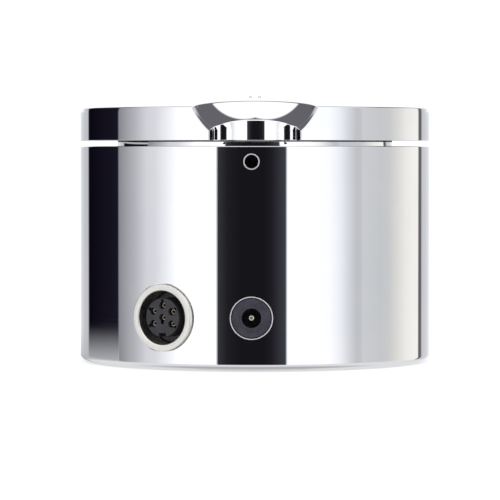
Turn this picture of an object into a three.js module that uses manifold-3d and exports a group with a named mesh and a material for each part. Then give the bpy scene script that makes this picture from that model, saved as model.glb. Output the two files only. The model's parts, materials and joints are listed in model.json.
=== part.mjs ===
// Countertop control head of a sous vide circulator: a short polished metal drum with a domed
// dial on top. The dial turns without end and presses down 0.8 mm to select. The drum's back
// holds a barrel power jack, a 3.5 mm probe jack and a six-way link socket.
// Millimetres, +Z up. The origin is on the worktop under the middle; the connectors face -Y.

import * as THREE from 'three';
import { mergeVertices } from 'three/addons/utils/BufferGeometryUtils.js';
import Module from 'manifold-3d';

const wasm = await Module();
wasm.setup();

// ---- Driving dimensions ------------------------------------------------------------------

const DRUM_RADIUS = 52;
const DRUM_HEIGHT = 63.3;
const DRUM_WALL = 2.5;
const DECK_THICKNESS = 1.5;
const TOP_EDGE_RADIUS = 0.25;
const BOTTOM_EDGE_RADIUS = 1.4;
const FOOT_PROUD = 0.6; // how far the foot ring stands below the drum
const FIT = 0.3; // clearance between pieces that touch

const DIAL_GAP = 1.6; // between the drum's deck and the dial
const DIAL_WALL = 9.6;
const DOME_RISE = 3.3;
const DIAL_EDGE_RADIUS = 0.5;
const DIAL_TURN = 1.1; // degrees, where the dial's notch stands at rest
const PRESS_TRAVEL = 0.8;
const NECK_RADIUS = 41;
const NECK_DIP = 1; // how far the neck reaches down into the drum's deck

const NOTCH_RADIUS = 12.8; // upright half-round notch for a finger, in the dial's wall
const NOTCH_FROM_AXIS = 50.4;
const DIMPLE_RADIUS = 20.2; // round dimple above the notch
const DIMPLE_FROM_AXIS = 53.8;
const DIMPLE_ABOVE_DRUM = 19.5; // its centre, above the drum's top

const LINK_TURN = -29.3; // degrees from the back, towards -X
const LINK_HEIGHT = 14.5; // above the drum's lower edge
const LINK_FLANGE_RADIUS = 9.6;
const LINK_MOUTH_RADIUS = 7.65;
const LINK_PROUD = 0.6;
const LINK_RECESS = 7; // the gap round the core, below the flange's face
const LINK_CORE_RADIUS = 5.6;
const LINK_CORE_SUNK = 0.5; // its face below the flange's face
const LINK_CONTACT_CIRCLE = 3.5; // radius
const LINK_CONTACT_ANGLES = [0, 60, 120, 240, 300]; // degrees from the top; the keyway is at 180
const LINK_KEYWAY = [2.3, 1.2]; // width and depth
const LINK_SLOT = [0.9, 1.2]; // width and length of the slot beside each contact

const POWER_HEIGHT = 14.7;
const POWER_BEZEL_RADIUS = 6.1;
const POWER_BORE_RADIUS = 2.75;
const POWER_PIN_RADIUS = 0.85;
const POWER_PIN_BORE = 0.4;

const PROBE_HEIGHT = 58.9;
const PROBE_BUSHING_RADIUS = 2.3;
const PROBE_BORE_RADIUS = 1.8;

// ---- Levels and radii worked out from them -----------------------------------------------

const DRUM_BOTTOM = FOOT_PROUD;
const DRUM_TOP = DRUM_BOTTOM + DRUM_HEIGHT;
const DECK_UNDERSIDE = DRUM_TOP - DECK_THICKNESS;
const DRUM_INSIDE = DRUM_RADIUS - DRUM_WALL;
const DIAL_BOTTOM = DRUM_TOP + DIAL_GAP;
const DIAL_SHOULDER = DIAL_BOTTOM + DIAL_WALL;
const DOME_TOP = DIAL_SHOULDER + DOME_RISE;
const DOME_RADIUS = (DRUM_RADIUS ** 2 + DOME_RISE ** 2) / (2 * DOME_RISE);

const BASE_BOTTOM = DRUM_BOTTOM + FIT;
const BASE_TOP = BASE_BOTTOM + 2.6;
const GASKET_TOP = BASE_TOP + FIT + 0.5;
const BOSS_CIRCLE = 46.4;
const BOSS_RADIUS = 3.5;
const BOSS_ANGLES = [90, 210, 330];
const PILLAR_CIRCLE = 40;
const PILLAR_ANGLES = [60, 180, 300];
const SCREW_SHANK = 1.4;
const SCREW_HOLE = SCREW_SHANK + FIT;
const BASE_SCREW_HEAD = 1.9;

const BEARING_BOTTOM = 58.6;
const BEARING_PAN = 60.6; // floor of the pan under the neck
const BEARING_RIM_TOP = DECK_UNDERSIDE - FIT;
const SPRING_FLOOR = 52;
const GUIDE_BOTTOM = 46;
const CARRIAGE_RADIUS = 10;
const CARRIAGE_BOTTOM = 44.4;
const CARRIAGE_FLANGE = [62.0, 63.5];
const SPINDLE_RADIUS = 4;
const SPINDLE_BOTTOM = 40;
const SPINDLE_TOP = 72;

const MAIN_BOARD = [27.5, 29.1];
const ENCODER_BOARD = [34.3, 35.9];
const COMPONENT_FLOOR = MAIN_BOARD[1] + FIT;

const SMOOTH = 48; // facets round the drum and the dial
const ROUND = 36; // facets round large inner pieces
const SMALL = 16; // facets round small pieces
const TINY = 8; // facets round pins and screws

// ---- Materials ---------------------------------------------------------------------------

const finish = (color, roughness, metalness) => ({ color, roughness, metalness });
const POLISHED = finish(0xdfe1e4, 0.06, 1);
const NICKEL = finish(0xd6d0c4, 0.25, 1);
const STEEL = finish(0x9a9da2, 0.35, 1);
const BRASS = finish(0xb9975a, 0.35, 1);
const BRONZE = finish(0x9c7a4c, 0.4, 1);
const GOLD = finish(0xd2b06a, 0.25, 1);
const BLACK_PLASTIC = finish(0x17171b, 0.5, 0);
const GREY_PLASTIC = finish(0x6d7075, 0.6, 0);
const RUBBER = finish(0x1d1d1e, 0.85, 0);
const CAST_ALLOY = finish(0x8d9095, 0.55, 1);
const BOARD_GREEN = finish(0x1f5a3a, 0.5, 0);
const WIRE = finish(0x7b2324, 0.6, 0);

// ---- Shape helpers -----------------------------------------------------------------------

const radians = THREE.MathUtils.degToRad;
const onCircle = (radius, degrees) => {
  const turn = radians(degrees);
  return [radius * Math.cos(turn), radius * Math.sin(turn)];
};

// The same shape with shared corners merged, empty triangles dropped and faces pointing out.
function closed(geometry) {
  const bare = new THREE.BufferGeometry();
  bare.setAttribute('position', geometry.getAttribute('position').clone());
  const count = bare.getAttribute('position').count;
  bare.setIndex(geometry.index ? Array.from(geometry.index.array) : [...Array(count).keys()]);
  const merged = mergeVertices(bare, 1e-5);
  const at = merged.getAttribute('position');
  const [a, b, c] = [new THREE.Vector3(), new THREE.Vector3(), new THREE.Vector3()];
  const kept = [];
  let volume = 0;
  for (let i = 0; i < merged.index.count; i += 3) {
    const [p, q, r] = [0, 1, 2].map((k) => merged.index.getX(i + k));
    if (p === q || q === r || r === p) continue;
    kept.push(p, q, r);
    b.fromBufferAttribute(at, q).cross(c.fromBufferAttribute(at, r));
    volume += a.fromBufferAttribute(at, p).dot(b);
  }
  merged.setIndex(volume < 0 ? kept.reverse() : kept);
  return merged;
}

function toSolid(geometry) {
  const tidy = closed(geometry);
  return new wasm.Manifold(new wasm.Mesh({
    numProp: 3,
    vertProperties: Float32Array.from(tidy.getAttribute('position').array),
    triVerts: Uint32Array.from(tidy.index.array),
  }));
}

function fromSolid(solid) {
  const mesh = solid.getMesh();
  const geometry = new THREE.BufferGeometry();
  geometry.setAttribute('position', new THREE.BufferAttribute(Float32Array.from(mesh.vertProperties), 3));
  geometry.setIndex(Array.from(mesh.triVerts));
  return geometry;
}

const cut = (geometry, ...tools) =>
  fromSolid(tools.reduce((solid, tool) => solid.subtract(toSolid(tool)), toSolid(geometry)));
const join = (geometry, ...more) =>
  fromSolid(more.reduce((solid, extra) => solid.add(toSolid(extra)), toSolid(geometry)));

// Turned about Z from an outline of [radius, height], which closes on itself or ends on the axis.
function turned(outline, segments) {
  const points = outline.map(([r, z]) => new THREE.Vector2(r, z));
  if (outline[0][0] !== 0) points.push(points[0].clone());
  return closed(new THREE.LatheGeometry(points, segments).rotateX(Math.PI / 2));
}

const disc = (radius, [low, high], segments = SMALL) =>
  turned([[0, low], [radius, low], [radius, high], [0, high]], segments);
const ring = (inner, outer, [low, high], segments = SMALL) =>
  turned([[inner, low], [outer, low], [outer, high], [inner, high]], segments);

// Points on a quarter or other arc of an outline.
function arc(centreR, centreZ, radius, from, to, steps) {
  return Array.from({ length: steps + 1 }, (_, i) => {
    const [r, z] = onCircle(radius, from + ((to - from) * i) / steps);
    return [centreR + r, centreZ + z];
  });
}

function block(width, depth, [low, high]) {
  return new THREE.BoxGeometry(width, depth, high - low).translate(0, 0, (low + high) / 2);
}

// A flat hexagonal nut with a round hole, its axis along Z.
function hexNut(inner, acrossFlats, [low, high]) {
  const outer = disc(acrossFlats / Math.sqrt(3), [low, high], 6);
  return cut(outer, disc(inner, [low - 1, high + 1]));
}

// A round section swept along a smooth route.
function swept(points, radius, sides, steps) {
  const outline = new THREE.Shape();
  for (let i = 0; i < sides; i += 1) {
    const [x, y] = onCircle(radius, (360 * i) / sides);
    if (i === 0) outline.moveTo(x, y);
    else outline.lineTo(x, y);
  }
  outline.closePath();
  const path = new THREE.CatmullRomCurve3(points.map((p) => new THREE.Vector3(...p)));
  return closed(new THREE.ExtrudeGeometry(outline, { steps, extrudePath: path, curveSegments: 1 }));
}

// A screw pointing down: a low round head with its top at `top`, and a plain shank.
function screw(headRadius, headHeight, length, top) {
  const neck = top - headHeight;
  return turned([
    [0, neck - length], [SCREW_SHANK, neck - length], [SCREW_SHANK, neck],
    [headRadius, neck], [headRadius, top], [0, top],
  ], TINY);
}

const control = new THREE.Group();

function add(name, geometry, look, parent = control) {
  const mesh = new THREE.Mesh(closed(geometry), new THREE.MeshStandardMaterial(look));
  mesh.name = name;
  parent.add(mesh);
  return mesh;
}

function addAt(name, geometry, look, x, y) {
  add(name, geometry, look).position.set(x, y, 0);
}

// A frame whose +Z runs straight out of the drum at a turn from the back, with +Y up.
function portFrame(turn, height) {
  const a = radians(turn);
  const across = new THREE.Vector3(Math.cos(a), Math.sin(a), 0);
  const up = new THREE.Vector3(0, 0, 1);
  const out = new THREE.Vector3(Math.sin(a), -Math.cos(a), 0);
  return new THREE.Matrix4().makeBasis(across, up, out).setPosition(0, 0, DRUM_BOTTOM + height);
}

function portGroup(frame) {
  const group = new THREE.Group();
  frame.decompose(group.position, group.quaternion, group.scale);
  control.add(group);
  return group;
}

const LINK_FRAME = portFrame(LINK_TURN, LINK_HEIGHT);
const POWER_FRAME = portFrame(0, POWER_HEIGHT);
const PROBE_FRAME = portFrame(0, PROBE_HEIGHT);
// How far from the axis the drum's inner face stands at a sideways reach.
const wallInsideAt = (reach) => Math.sqrt(DRUM_INSIDE ** 2 - reach ** 2);
const through = (radius, from, frame) => disc(radius, [from, DRUM_RADIUS + 5], 32).applyMatrix4(frame);

// ---- Drum --------------------------------------------------------------------------------

const LINK_SEAT = DRUM_RADIUS - 1.1; // back face of the link socket's flange, from the axis
const POWER_SEAT = DRUM_RADIUS - 0.7; // back face of the power jack's flange
const LINK_BARREL = 8.4;
const LINK_NUT_RADIUS = 10.4;
const POWER_BARREL = 4.7;

function drum() {
  const outline = [
    [DRUM_INSIDE, DRUM_BOTTOM],
    ...arc(
      DRUM_RADIUS - BOTTOM_EDGE_RADIUS, DRUM_BOTTOM + BOTTOM_EDGE_RADIUS, BOTTOM_EDGE_RADIUS, -90, 0, 3,
    ),
    ...arc(DRUM_RADIUS - TOP_EDGE_RADIUS, DRUM_TOP - TOP_EDGE_RADIUS, TOP_EDGE_RADIUS, 0, 90, 2),
    [NECK_RADIUS + 0.5, DRUM_TOP],
    [NECK_RADIUS + 0.5, DECK_UNDERSIDE],
    [DRUM_INSIDE, DECK_UNDERSIDE],
  ];
  const bosses = BOSS_ANGLES.map((angle) => {
    const [x, y] = onCircle(BOSS_CIRCLE, angle);
    return disc(BOSS_RADIUS, [GASKET_TOP + FIT, GASKET_TOP + 12], TINY).translate(x, y, 0);
  });
  const screwHoles = BOSS_ANGLES.map((angle) => {
    const [x, y] = onCircle(BOSS_CIRCLE, angle);
    return disc(SCREW_HOLE, [0, GASKET_TOP + 10], TINY).translate(x, y, 0);
  });
  return cut(
    join(turned(outline, SMOOTH), ...bosses),
    ...screwHoles,
    through(LINK_BARREL + FIT, 40, LINK_FRAME),
    through(LINK_FLANGE_RADIUS + FIT, LINK_SEAT - FIT, LINK_FRAME),
    through(POWER_BARREL + FIT, 40, POWER_FRAME),
    through(POWER_BEZEL_RADIUS + FIT, POWER_SEAT - FIT, POWER_FRAME),
    through(PROBE_BUSHING_RADIUS + FIT, 40, PROBE_FRAME),
  );
}

add('drum_shell', drum(), POLISHED);

// ---- Base --------------------------------------------------------------------------------

const FOOT_INNER = 37.5;
const FOOT_OUTER = 43;
const FOOT_TOP = BASE_BOTTOM + 1.2;
const BASE_RADIUS = DRUM_INSIDE - FIT;
const PILLAR_SPIGOT = 1.6;

function basePlate() {
  const plate = turned([
    [0, BASE_BOTTOM], [FOOT_INNER - FIT, BASE_BOTTOM], [FOOT_INNER - FIT, FOOT_TOP + FIT],
    [FOOT_OUTER + FIT, FOOT_TOP + FIT], [FOOT_OUTER + FIT, BASE_BOTTOM], [BASE_RADIUS, BASE_BOTTOM],
    [BASE_RADIUS, BASE_TOP], [0, BASE_TOP],
  ], ROUND);
  const holes = BOSS_ANGLES.flatMap((angle) => {
    const [x, y] = onCircle(BOSS_CIRCLE, angle);
    return [
      disc(SCREW_HOLE, [-1, BASE_TOP + 1], TINY).translate(x, y, 0),
      disc(BASE_SCREW_HEAD + FIT, [-1, BASE_BOTTOM + 1.55], TINY).translate(x, y, 0),
    ];
  });
  const sockets = PILLAR_ANGLES.map((angle) => {
    const [x, y] = onCircle(PILLAR_CIRCLE, angle);
    return disc(PILLAR_SPIGOT + FIT, [FOOT_TOP + 1, BASE_TOP + 1], TINY).translate(x, y, 0);
  });
  return cut(plate, ...holes, ...sockets);
}

function baseGasket() {
  const flat = ring(42.6, BASE_RADIUS, [BASE_TOP + FIT, GASKET_TOP], ROUND);
  const holes = BOSS_ANGLES.map((angle) => {
    const [x, y] = onCircle(BOSS_CIRCLE, angle);
    return disc(SCREW_HOLE, [0, 10], TINY).translate(x, y, 0);
  });
  const reliefs = PILLAR_ANGLES.map((angle) => {
    const [x, y] = onCircle(PILLAR_CIRCLE, angle);
    return disc(4.2, [0, 10], TINY).translate(x, y, 0);
  });
  return cut(flat, ...holes, ...reliefs);
}

add('base_plate', basePlate(), CAST_ALLOY);
add('base_gasket', baseGasket(), RUBBER);
add('foot_ring', turned([
  [FOOT_INNER + 0.4, 0], [FOOT_OUTER - 0.4, 0], [FOOT_OUTER, 0.4], [FOOT_OUTER, FOOT_TOP],
  [FOOT_INNER, FOOT_TOP], [FOOT_INNER, 0.4],
], ROUND), RUBBER);
add('ballast_disc', disc(27, [BASE_TOP + FIT, BASE_TOP + 4.8], ROUND), STEEL);

BOSS_ANGLES.forEach((angle, i) => {
  const [x, y] = onCircle(BOSS_CIRCLE, angle);
  const upright = screw(BASE_SCREW_HEAD, 1.15, 11, 0).rotateX(Math.PI).translate(0, 0, BASE_BOTTOM + 0.1);
  addAt(`base_screw_${i + 1}`, upright, STEEL, x, y);
});

// ---- Chassis: pillars, bearing plate and boards ------------------------------------------

const PILLAR_RADIUS = 3.4;
const PILLAR_WAIST = 2.4; // where the pillar passes through the main board

PILLAR_ANGLES.forEach((angle, i) => {
  const [x, y] = onCircle(PILLAR_CIRCLE, angle);
  const top = BEARING_BOTTOM - FIT;
  const pillar = turned([
    [0, FOOT_TOP + 1 + FIT], [PILLAR_SPIGOT, FOOT_TOP + 1 + FIT], [PILLAR_SPIGOT, BASE_TOP + FIT],
    [PILLAR_RADIUS, BASE_TOP + FIT], [PILLAR_RADIUS, MAIN_BOARD[0] - FIT],
    [PILLAR_WAIST, MAIN_BOARD[0] - FIT], [PILLAR_WAIST, top],
    [SCREW_HOLE, top], [SCREW_HOLE, top - 8], [0, top - 8],
  ], TINY);
  addAt(`pillar_${i + 1}`, pillar, STEEL, x, y);
  addAt(`pillar_screw_${i + 1}`, screw(2.3, 1.2, 9, BEARING_PAN + 1.2 - FIT), STEEL, x, y);
});

const SPRING_POCKET = 14.4;
const GUIDE_OUTSIDE = 17;
const PROBE_BODY_WIDTH = 6.4;
const PROBE_BODY_INNER = 33;
const JACK_SLOT_INNER = 26; // the jack's slot leaves room for its leads

function bearingPlate() {
  const guideBore = CARRIAGE_RADIUS + FIT;
  const plate = turned([
    [guideBore, GUIDE_BOTTOM], [GUIDE_OUTSIDE, GUIDE_BOTTOM], [GUIDE_OUTSIDE, BEARING_BOTTOM],
    [DRUM_INSIDE - 1, BEARING_BOTTOM], [DRUM_INSIDE - 1, BEARING_RIM_TOP],
    [NECK_RADIUS + 1.2, BEARING_RIM_TOP], [NECK_RADIUS + 1.2, BEARING_PAN],
    [SPRING_POCKET, BEARING_PAN], [SPRING_POCKET, SPRING_FLOOR], [guideBore, SPRING_FLOOR],
  ], ROUND);
  const holes = PILLAR_ANGLES.flatMap((angle) => {
    const [x, y] = onCircle(PILLAR_CIRCLE, angle);
    return [
      disc(SCREW_HOLE, [50, 70], TINY).translate(x, y, 0),
      disc(2.7, [BEARING_PAN - FIT - 0.3, 70], TINY).translate(x, y, 0),
    ];
  });
  const slotWidth = PROBE_BODY_WIDTH + 2 * FIT;
  const jackSlot = block(slotWidth, 30, [50, 70]).translate(0, -JACK_SLOT_INNER - 15, 0);
  const keyway = block(3.2, 3, [40, 55]).translate(0, guideBore + 0.4, 0);
  return cut(plate, ...holes, jackSlot, keyway);
}

add('bearing_plate', bearingPlate(), CAST_ALLOY);

function mainBoard() {
  const board = disc(43, MAIN_BOARD, ROUND);
  const holes = PILLAR_ANGLES.map((angle) => {
    const [x, y] = onCircle(PILLAR_CIRCLE, angle);
    return disc(PILLAR_WAIST + FIT, [20, 40], TINY).translate(x, y, 0);
  });
  const wireGap = block(14, 12, [20, 40]).translate(-8, -41, 0);
  return cut(board, ...holes, wireGap);
}

add('main_board', mainBoard(), BOARD_GREEN);
const onBoard = (height) => [COMPONENT_FLOOR, COMPONENT_FLOOR + height];
addAt('controller_shield', block(18, 16, onBoard(2.8)), NICKEL, 0, 6);
addAt('power_inductor', block(12, 12, onBoard(6)), GREY_PLASTIC, 31, 8);
addAt('smoothing_capacitor_1', disc(4, onBoard(11)), STEEL, 28, -18);
addAt('smoothing_capacitor_2', disc(4, onBoard(11)), STEEL, 34, -9);
const soundHole = disc(1.2, [COMPONENT_FLOOR + 2, COMPONENT_FLOOR + 8], TINY);
addAt('buzzer', cut(disc(6, onBoard(5.5)), soundHole), BLACK_PLASTIC, -28, 15);
addAt('link_header', block(15, 5, onBoard(6)), BLACK_PLASTIC, -18, -28);
addAt('power_header', block(8, 5, onBoard(6)), BLACK_PLASTIC, 10, -32);

const ENCODER_POST_CIRCLE = 20.5;
const ENCODER_POST_ANGLES = [0, 120, 240];

function encoderBoard() {
  const edge = disc(23.5, ENCODER_BOARD, 32);
  const holes = ENCODER_POST_ANGLES.map((angle) => {
    const [x, y] = onCircle(ENCODER_POST_CIRCLE, angle);
    return disc(1.2 + FIT, [30, 40], TINY).translate(x, y, 0);
  });
  return cut(edge, ...holes);
}

add('encoder_board', encoderBoard(), BOARD_GREEN);
ENCODER_POST_ANGLES.forEach((angle, i) => {
  const [x, y] = onCircle(ENCODER_POST_CIRCLE, angle);
  const post = turned([
    [0, ENCODER_BOARD[0] - 0.8], [1.2, ENCODER_BOARD[0] - 0.8], [1.2, ENCODER_BOARD[1] + FIT],
    [2.4, ENCODER_BOARD[1] + FIT], [2.4, BEARING_BOTTOM - FIT], [0, BEARING_BOTTOM - FIT],
  ], TINY);
  addAt(`encoder_post_${i + 1}`, post, BRASS, x, y);
});
const SENSOR_FLOOR = ENCODER_BOARD[1] + FIT;
add('encoder_sensor', block(5, 5, [SENSOR_FLOOR, SENSOR_FLOOR + 0.9]), BLACK_PLASTIC);

const SWITCH_OFFSET = 8.5; // the select switch's distance from the axis, towards +Y
const PLUNGER_RADIUS = 1.5;
const SWITCH_TOP = SENSOR_FLOOR + 3.2;
const switchBody = cut(
  block(6, 6, [SENSOR_FLOOR, SWITCH_TOP]),
  disc(PLUNGER_RADIUS + FIT, [SENSOR_FLOOR + 1, SWITCH_TOP + 1], TINY),
);
addAt('select_switch_body', switchBody, BLACK_PLASTIC, 0, SWITCH_OFFSET);

// ---- Pressing carriage: slides with the dial but does not turn ---------------------------

const BUSH_RADIUS = SPINDLE_RADIUS + FIT + 1.7;
const CLIP_GROOVE = [CARRIAGE_BOTTOM + 0.4, CARRIAGE_BOTTOM + 1.2];
const PLUNGER_TOP = SWITCH_TOP + 1.3;

function carriage() {
  const bore = BUSH_RADIUS + FIT;
  const sleeve = turned([
    [bore, CARRIAGE_BOTTOM], [CARRIAGE_RADIUS, CARRIAGE_BOTTOM], [CARRIAGE_RADIUS, CLIP_GROOVE[0]],
    [CARRIAGE_RADIUS - 1, CLIP_GROOVE[0]], [CARRIAGE_RADIUS - 1, CLIP_GROOVE[1]],
    [CARRIAGE_RADIUS, CLIP_GROOVE[1]], [CARRIAGE_RADIUS, CARRIAGE_FLANGE[0]],
    [SPRING_POCKET - 0.4, CARRIAGE_FLANGE[0]], [SPRING_POCKET - 0.4, CARRIAGE_FLANGE[1]],
    [bore, CARRIAGE_FLANGE[1]],
  ], 32);
  const foot = block(2.6, 2.2, [PLUNGER_TOP + FIT, CARRIAGE_BOTTOM + 0.3]).translate(0, SWITCH_OFFSET, 0);
  const key = block(2.4, 1.6, [CLIP_GROOVE[1] + 0.9, 51]).translate(0, CARRIAGE_RADIUS + 0.2, 0);
  return join(sleeve, foot, key);
}

// A retaining clip: a flat ring with a gap in it.
function clip(inner, outer, [low, high], gap) {
  const opening = block(gap, outer * 2, [low - 1, high + 1]).translate(0, -outer, 0);
  return cut(ring(inner, outer, [low, high], 20), opening);
}

add('press_carriage', carriage(), GREY_PLASTIC);
const carriageClipSpan = [CLIP_GROOVE[0] + 0.1, CLIP_GROOVE[1] - 0.1];
add('carriage_clip', clip(CARRIAGE_RADIUS - 0.7, 12.2, carriageClipSpan, 6), STEEL);
const bushSpan = [CARRIAGE_BOTTOM + 0.4, CARRIAGE_FLANGE[1] - FIT];
add('spindle_bush', ring(SPINDLE_RADIUS + FIT, BUSH_RADIUS, bushSpan, 20), BRONZE);
const plunger = disc(PLUNGER_RADIUS, [SENSOR_FLOOR + 2.1, PLUNGER_TOP], TINY);
addAt('select_switch_plunger', plunger, GREY_PLASTIC, 0, SWITCH_OFFSET);

function returnSpring() {
  const [wire, radius, turns, stepsPerTurn] = [0.5, 12.2, 3.5, 12];
  const low = SPRING_FLOOR + FIT + wire;
  const high = CARRIAGE_FLANGE[0] - FIT - wire;
  const count = turns * stepsPerTurn;
  const points = Array.from({ length: count + 1 }, (_, i) => {
    const [x, y] = onCircle(radius, (360 * i) / stepsPerTurn);
    return [x, y, low + ((high - low) * i) / count];
  });
  return swept(points, wire, 5, count);
}

add('return_spring', returnSpring(), STEEL);

// ---- Dial --------------------------------------------------------------------------------

const dial = new THREE.Group();
dial.rotation.z = radians(DIAL_TURN);
control.add(dial);

const HOLLOW_RADIUS = 33;
const HOLLOW_TOP = DOME_TOP - 4.8;
const LIP_RADIUS = 35.2;
const LIP_TOP = DIAL_BOTTOM + 2.2;
const HUB_RADIUS = 9.5;
const HUB_BOTTOM = CARRIAGE_FLANGE[1] + FIT;
const GRUB_RADIUS = 0.9;
const GRUB_HEIGHT = (HUB_BOTTOM + HOLLOW_TOP) / 2;
const PIP_RADIUS = 0.45;
const PIP_SPACING = 2.7;
const PIP_FROM_AXIS = 6;

const domeHeight = (radius) => DOME_TOP - DOME_RADIUS + Math.sqrt(DOME_RADIUS ** 2 - radius ** 2);

function dialCap() {
  const edge = DRUM_RADIUS - DIAL_EDGE_RADIUS;
  const dome = [0, 13, 26, 39].map((r) => [r, domeHeight(r)]);
  const cap = turned([
    ...dome,
    ...arc(edge, domeHeight(edge) - DIAL_EDGE_RADIUS, DIAL_EDGE_RADIUS, 86, 0, 3),
    ...arc(DRUM_RADIUS - 0.3, DIAL_BOTTOM + 0.3, 0.3, 0, -90, 1),
    [LIP_RADIUS + FIT, DIAL_BOTTOM], [LIP_RADIUS + FIT, LIP_TOP + FIT],
    [HOLLOW_RADIUS, LIP_TOP + FIT], [HOLLOW_RADIUS, HOLLOW_TOP], [HUB_RADIUS, HOLLOW_TOP],
    [HUB_RADIUS, HUB_BOTTOM], [SPINDLE_RADIUS + FIT, HUB_BOTTOM],
    [SPINDLE_RADIUS + FIT, SPINDLE_TOP + FIT], [0, SPINDLE_TOP + FIT],
  ], SMOOTH);
  const notch = disc(NOTCH_RADIUS, [DIAL_BOTTOM - 5, DOME_TOP + 5], 32).translate(0, -NOTCH_FROM_AXIS, 0);
  const dimple = new THREE.SphereGeometry(DIMPLE_RADIUS, 32, 16)
    .translate(0, -DIMPLE_FROM_AXIS, DRUM_TOP + DIMPLE_ABOVE_DRUM);
  const pips = [-0.5, 0.5].map((side) => {
    const centre = domeHeight(PIP_FROM_AXIS);
    const pip = new THREE.SphereGeometry(PIP_RADIUS, TINY, 6);
    return pip.translate(side * PIP_SPACING, -PIP_FROM_AXIS, centre);
  });
  const grubHole = disc(GRUB_RADIUS + FIT, [SPINDLE_RADIUS, HUB_RADIUS + 1], TINY).rotateX(-Math.PI / 2);
  return join(cut(cap, notch, dimple, grubHole.translate(0, 0, GRUB_HEIGHT)), ...pips);
}

add('dial_cap', dialCap(), POLISHED, dial);
add('dial_neck', turned([
  [HOLLOW_RADIUS + 0.3, DRUM_TOP - NECK_DIP], [NECK_RADIUS, DRUM_TOP - NECK_DIP],
  [NECK_RADIUS, DIAL_BOTTOM - FIT], [LIP_RADIUS, DIAL_BOTTOM - FIT], [LIP_RADIUS, LIP_TOP],
  [HOLLOW_RADIUS + 0.3, LIP_TOP],
], SMOOTH), POLISHED, dial);
add('dial_grub_screw', disc(GRUB_RADIUS, [SPINDLE_RADIUS + FIT, HUB_RADIUS - 0.5], TINY)
  .rotateX(-Math.PI / 2).translate(0, 0, GRUB_HEIGHT), STEEL, dial);

const SPINDLE_GROOVE = [CARRIAGE_BOTTOM - 1.2, CARRIAGE_BOTTOM - 0.3];
add('dial_spindle', turned([
  [0, SPINDLE_BOTTOM], [SPINDLE_RADIUS, SPINDLE_BOTTOM], [SPINDLE_RADIUS, SPINDLE_GROOVE[0]],
  [SPINDLE_RADIUS - 0.8, SPINDLE_GROOVE[0]], [SPINDLE_RADIUS - 0.8, SPINDLE_GROOVE[1]],
  [SPINDLE_RADIUS, SPINDLE_GROOVE[1]], [SPINDLE_RADIUS, SPINDLE_TOP], [0, SPINDLE_TOP],
], 20), STEEL, dial);
const spindleClipSpan = [SPINDLE_GROOVE[0] + 0.1, SPINDLE_GROOVE[1] - 0.1];
add('spindle_clip', clip(SPINDLE_RADIUS - 0.5, 6.2, spindleClipSpan, 3), STEEL, dial);
add('encoder_magnet', disc(3, [SPINDLE_BOTTOM - 2, SPINDLE_BOTTOM - FIT]), STEEL, dial);

// ---- Link socket -------------------------------------------------------------------------

const LINK_FACE = DRUM_RADIUS + LINK_PROUD;
const LINK_FLOOR = LINK_FACE - LINK_RECESS;
const LINK_INNER_END = 38;
const LINK_INSERT_RADIUS = LINK_MOUTH_RADIUS - FIT;
const LINK_CORE_FACE = LINK_FACE - LINK_CORE_SUNK;
const CONTACT_RADIUS = 0.75;
const CONTACT_BORE = 0.42;
const CONTACT_HOLE = CONTACT_RADIUS + FIT;
const CONTACT_FRONT = LINK_CORE_FACE - 1.1;
const link = portGroup(LINK_FRAME);
const linkPlaces = [
  ...LINK_CONTACT_ANGLES.map((angle) => onCircle(LINK_CONTACT_CIRCLE, 90 - angle)),
  [0, 0],
];

add('link_socket_shell', turned([
  [LINK_MOUTH_RADIUS, LINK_INNER_END], [LINK_BARREL, LINK_INNER_END], [LINK_BARREL, LINK_SEAT],
  [LINK_FLANGE_RADIUS, LINK_SEAT], [LINK_FLANGE_RADIUS, LINK_FACE - 0.25],
  [LINK_FLANGE_RADIUS - 0.25, LINK_FACE], [LINK_MOUTH_RADIUS + 0.4, LINK_FACE],
  [LINK_MOUTH_RADIUS, LINK_FACE - 0.6],
], 36), NICKEL, link);

// The slot beside each contact points outwards, and the middle one's points at the keyway.
const slotPlaces = [...LINK_CONTACT_ANGLES.map((angle) => 90 - angle), -90];
const slotRadii = [...LINK_CONTACT_ANGLES.map(() => LINK_CONTACT_CIRCLE), 0];
const contactSlots = slotPlaces.map((degrees, i) => {
  const slot = block(LINK_SLOT[1], LINK_SLOT[0], [LINK_CORE_FACE - 1.5, LINK_CORE_FACE + 1]);
  return slot.translate(slotRadii[i] + 1.2, 0, 0).rotateZ(radians(degrees));
});
const contactHoles = linkPlaces.map(([x, y]) => {
  const hole = disc(CONTACT_HOLE, [LINK_INNER_END - 1, LINK_CORE_FACE + 1], 10);
  return hole.translate(x, y, 0);
});
const keyway = block(LINK_KEYWAY[0], LINK_KEYWAY[1] * 2, [LINK_FLOOR, LINK_CORE_FACE + 1]);
add('link_socket_insert', cut(
  turned([
    [0, LINK_INNER_END + 1], [LINK_INSERT_RADIUS, LINK_INNER_END + 1], [LINK_INSERT_RADIUS, LINK_FLOOR],
    [LINK_CORE_RADIUS, LINK_FLOOR], [LINK_CORE_RADIUS, LINK_CORE_FACE - 0.3],
    [LINK_CORE_RADIUS - 0.3, LINK_CORE_FACE], [0, LINK_CORE_FACE],
  ], 32),
  ...contactHoles,
  ...contactSlots,
  keyway.translate(0, -LINK_CORE_RADIUS, 0),
), BLACK_PLASTIC, link);
linkPlaces.forEach(([x, y], i) => {
  const contact = turned([
    [0, LINK_INNER_END - 4], [CONTACT_RADIUS, LINK_INNER_END - 4], [CONTACT_RADIUS, CONTACT_FRONT],
    [CONTACT_BORE, CONTACT_FRONT], [CONTACT_BORE, CONTACT_FRONT - 4], [0, CONTACT_FRONT - 4],
  ], 8);
  add(`link_contact_${i + 1}`, contact.translate(x, y, 0), GOLD, link);
});
const linkNutFront = wallInsideAt(LINK_NUT_RADIUS) - FIT;

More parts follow.
